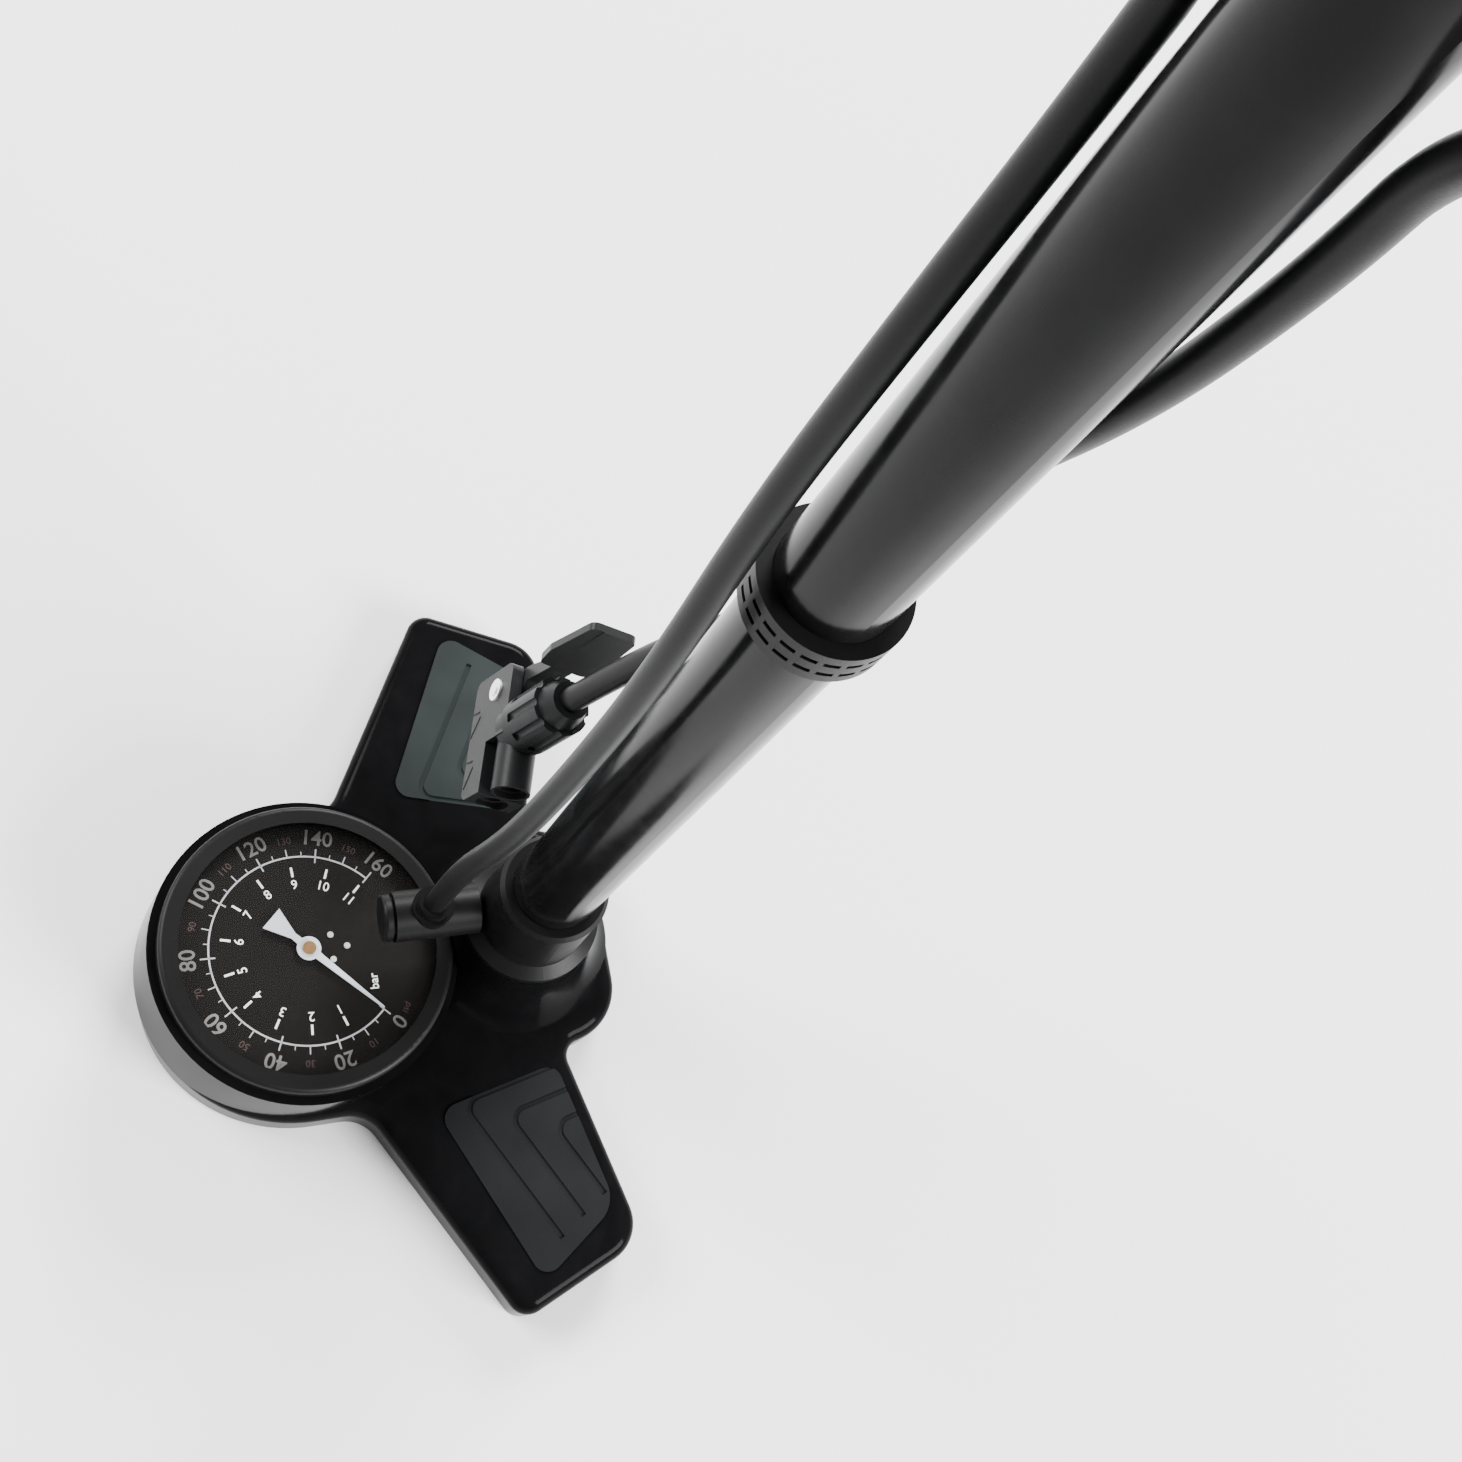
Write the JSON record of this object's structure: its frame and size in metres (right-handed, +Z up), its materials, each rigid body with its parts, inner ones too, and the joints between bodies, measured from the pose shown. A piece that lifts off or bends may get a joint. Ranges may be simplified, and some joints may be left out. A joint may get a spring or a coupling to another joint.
{
  "type": "floor pump",
  "caption": "Hand-operated floor pump: upright barrel with sliding handle, foot wings, tilted dial gauge, looped hose and lever-locked twin valve head.",
  "frame": {"origin": "on the floor under the barrel's axis, at the middle of the centre foot", "axes": "+Z up the barrel, -Y toward the gauge, X along the foot wings and the handle"},
  "size_m": [0.2738, 0.1756, 0.643],
  "materials": {
    "gloss_black": "gloss",
    "barrel_paint": "gloss",
    "pad_rubber": "matte",
    "black_rubber": "matte",
    "black_plastic": "satin",
    "head_plastic": "satin",
    "steel": "satin",
    "chrome_rod": "polished",
    "brass": "satin",
    "dial": "satin",
    "white_needle": "satin",
    "lens": "clear"
  },
  "bodies": {
    "pump": {"base_body": "gloss_black", "foot_pad_right": "pad_rubber", "foot_pad_left": "pad_rubber", "rest_feet": "black_rubber", "barrel": "barrel_paint", "socket_collar": "black_plastic", "clip_ring": "black_rubber", "barrel_cap": "black_plastic", "rod_bush": "black_plastic", "stop_bumper": "black_rubber", "valve_seat": "brass", "gauge_case": "steel", "movement_plate": "brass", "pressure_tube": "brass", "dial_plate": "dial", "dial_screws": "steel", "gauge_lens": "lens", "gauge_bezel": "black_plastic", "outlet_body": "black_plastic", "outlet_cap": "black_plastic", "hose_ferrule": "black_plastic", "head_body": "head_plastic", "valve_grommets": "black_rubber", "lever_pin": "steel", "pin_washers": "steel", "head_nut": "head_plastic", "hose": "black_rubber"},
    "plunger": {"piston_rod": "chrome_rod", "piston": "black_plastic", "piston_cup": "black_rubber", "piston_nut": "steel", "handle_core": "black_plastic", "handle_bolt": "steel", "grip_right": "black_rubber", "grip_left": "black_rubber", "grip_caps": "black_plastic"},
    "pointer": {"needle": "white_needle", "needle_staff": "brass"},
    "lever": {"head_lever": "head_plastic"},
    "check_ball": {"valve_ball": "steel"}
  },
  "joints": [
    {"name": "handle_slide", "type": "slide", "parent": "pump", "child": "plunger", "axis": [0, 0, 1], "range_m": [0, 0.44]},
    {"name": "needle_turn", "type": "hinge", "parent": "pump", "child": "pointer", "pos_m": [0, -0.079, 0.0406], "axis": [0, -0.1115, -0.9938], "range_deg": [0, 270]},
    {"name": "lever_turn", "type": "hinge", "parent": "pump", "child": "lever", "pos_m": [-0.04819, -0.01967, 0.15234], "axis": [-0.2824, -0.9237, 0.2588], "range_deg": [0, 90]},
    {"name": "ball_slide", "type": "slide", "parent": "pump", "child": "check_ball", "axis": [0, 0, -1], "range_m": [0, 0.004]}
  ]
}
